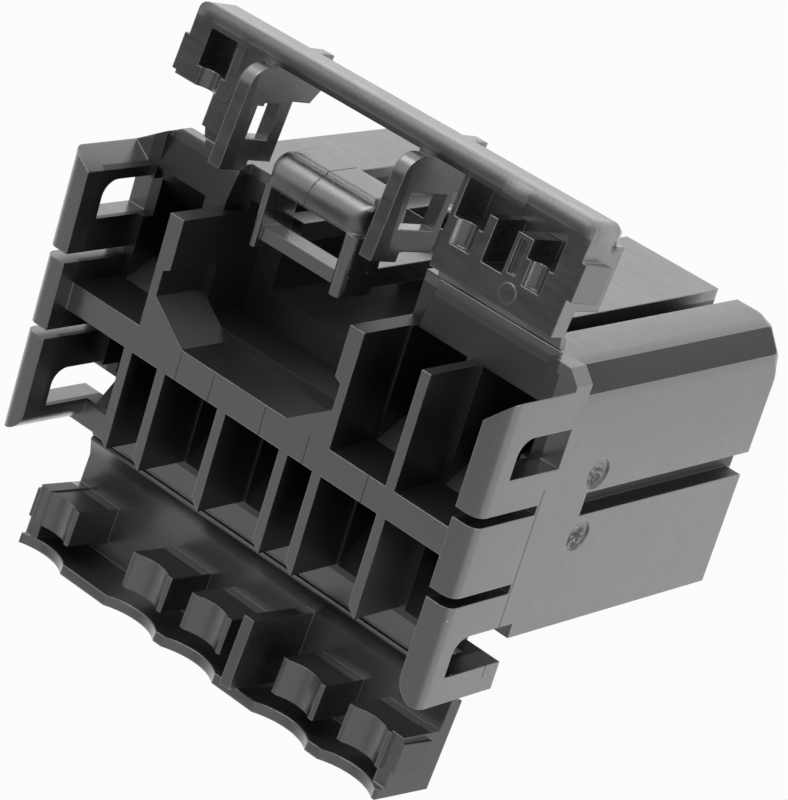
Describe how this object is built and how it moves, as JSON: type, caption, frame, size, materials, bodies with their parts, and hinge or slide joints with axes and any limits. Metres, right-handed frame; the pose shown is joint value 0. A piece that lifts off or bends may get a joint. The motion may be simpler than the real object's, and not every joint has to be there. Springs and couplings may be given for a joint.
{
  "type": "electrical connector housing",
  "caption": "Rectangular cable connector housing for blade terminals, with a keyed nose, snap-window fingers, a latch lever and hinged terminal retainers.",
  "frame": {"origin": "centre of the mating face", "axes": "+Z from the mating face to the wire side, +Y towards the latch, +X to the right when looking at the wire side with the latch up"},
  "size_m": [0.0418, 0.0438, 0.0316],
  "materials": {
    "body": "satin black moulded thermoplastic, lightly grained"
  },
  "bodies": {
    "housing": {"housing": "body"},
    "upper_retainer": {"upper_retainer": "body"},
    "lower_retainer": {"lower_retainer": "body"},
    "latch_lever": {"latch_lever": "body"}
  },
  "joints": [
    {"name": "upper_hinge", "type": "hinge", "parent": "housing", "child": "upper_retainer", "pos_m": [0, 0.0109, 0.0246], "axis": [1, 0, 0], "range_deg": [0, 98], "stiffness_Nm_per_rad": 0.004},
    {"name": "lower_hinge", "type": "hinge", "parent": "housing", "child": "lower_retainer", "pos_m": [0, -0.0154, 0.0238], "axis": [-1, 0, 0], "range_deg": [0, 84], "stiffness_Nm_per_rad": 0.004},
    {"name": "latch_flex", "type": "hinge", "parent": "housing", "child": "latch_lever", "pos_m": [-0.0029, 0.00755, 0.00735], "axis": [1, 0, 0], "range_deg": [0, 4], "stiffness_Nm_per_rad": 0.05}
  ]
}
